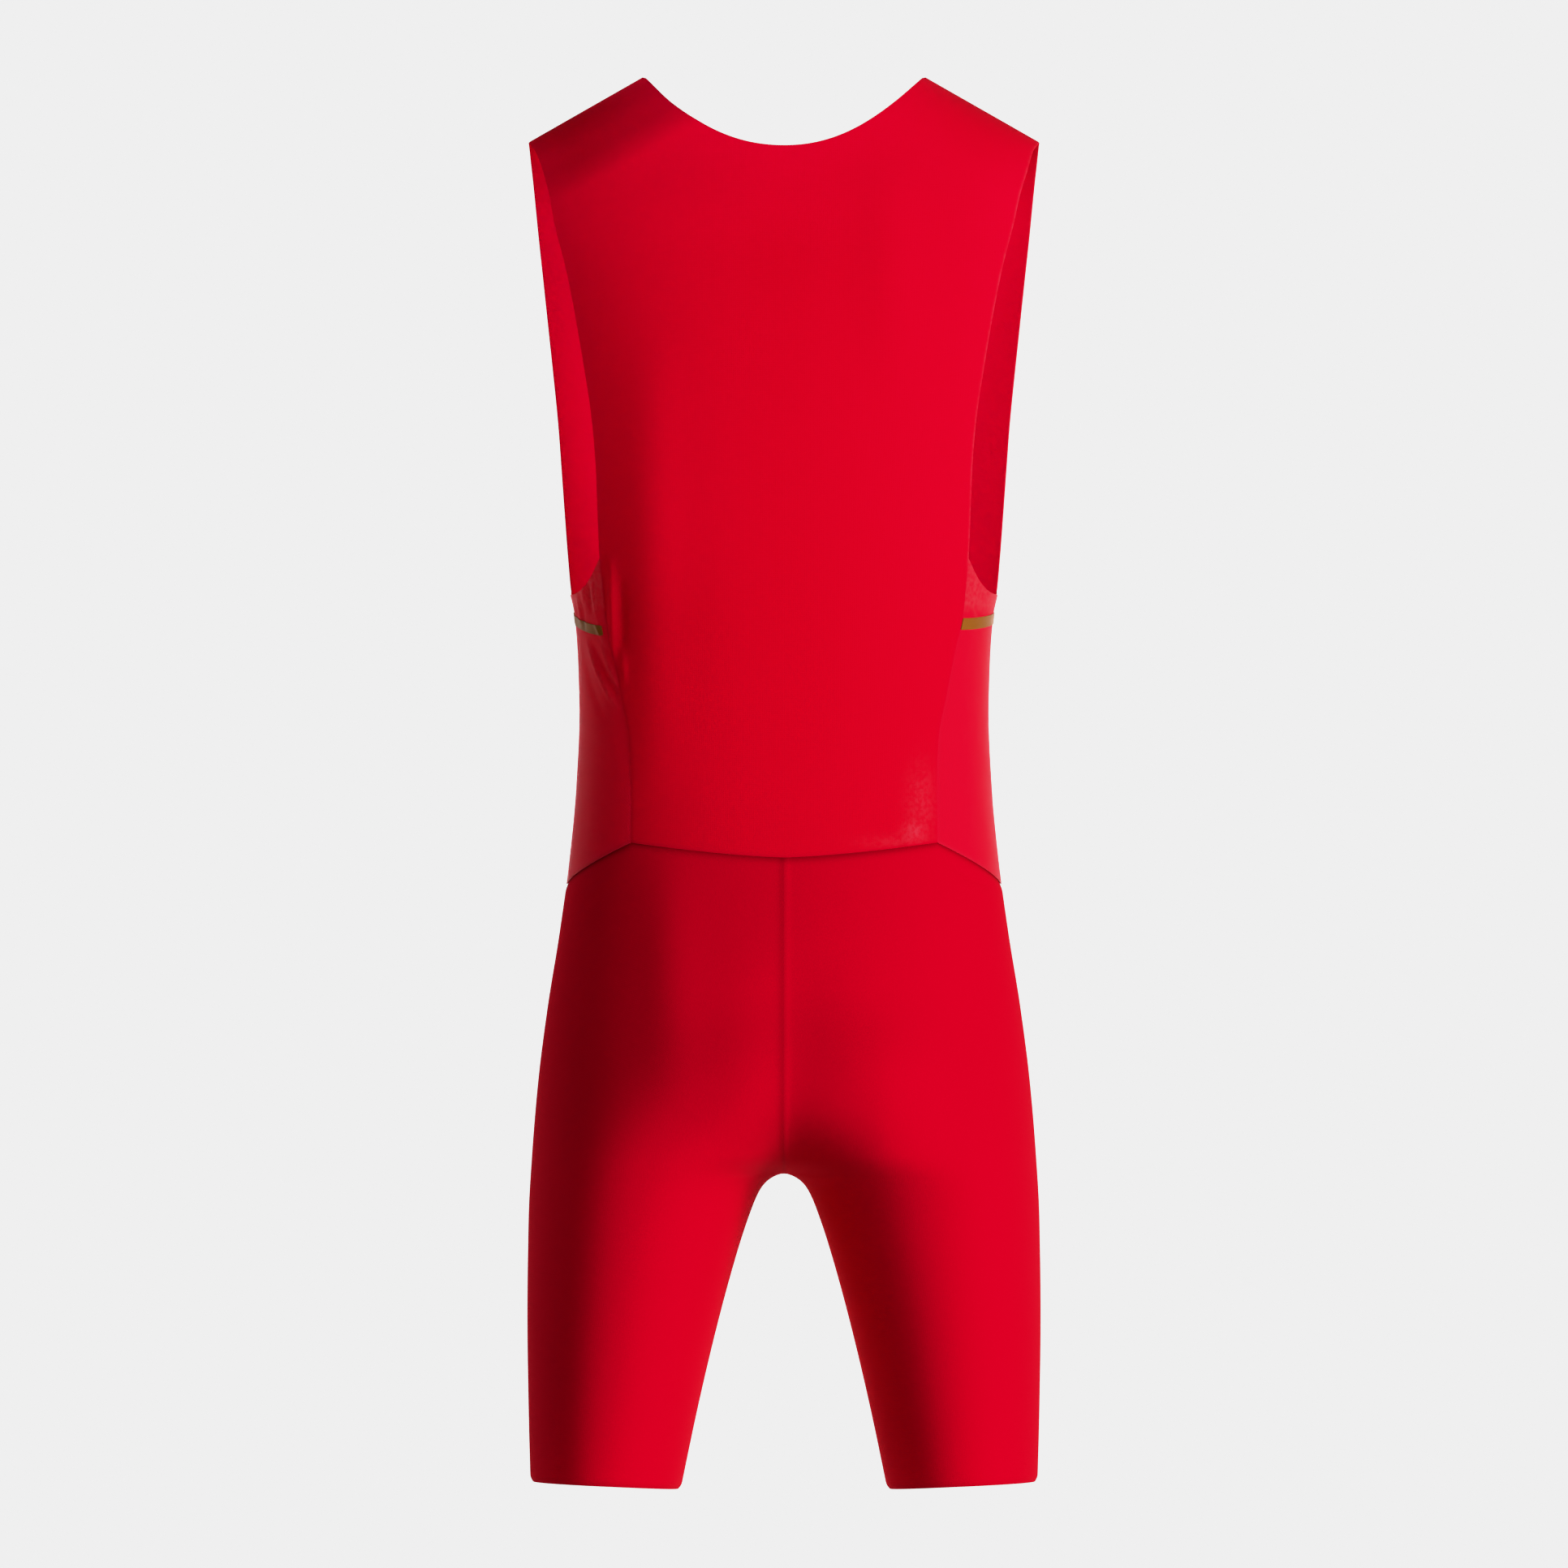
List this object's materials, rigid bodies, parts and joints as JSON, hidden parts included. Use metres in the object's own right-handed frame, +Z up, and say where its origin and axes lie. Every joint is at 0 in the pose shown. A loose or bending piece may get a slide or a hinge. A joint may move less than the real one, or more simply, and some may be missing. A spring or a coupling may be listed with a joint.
{
  "type": "athletics bodysuit",
  "caption": "Sleeveless one-piece athletics bodysuit with deep armholes, side panels crossed by a tape, and mid-thigh shorts.",
  "frame": {"origin": "midway between the two shoulder seams at their mid height, where the wearer's shoulders carry the suit", "axes": "+Z up, +Y towards the wearer's front, +X towards the wearer's right"},
  "size_m": [0.3562, 0.2296, 0.9792],
  "materials": {
    "bodice_jersey": "smooth red nylon and elastane warp-knit jersey, slight sheen",
    "short_jersey": "red nylon and elastane warp-knit jersey, slight sheen",
    "side_mesh": "lighter red power mesh with a fine open knit",
    "gold_tape": "matt gold knitted tape"
  },
  "bodies": {
    "root": {"back_bodice": "bodice_jersey", "front_bodice": "bodice_jersey", "side_panel_left": "side_mesh", "side_panel_right": "side_mesh", "side_stripe_left": "gold_tape", "side_stripe_right": "gold_tape", "leg_left": "short_jersey", "leg_right": "short_jersey"}
  },
  "joints": []
}
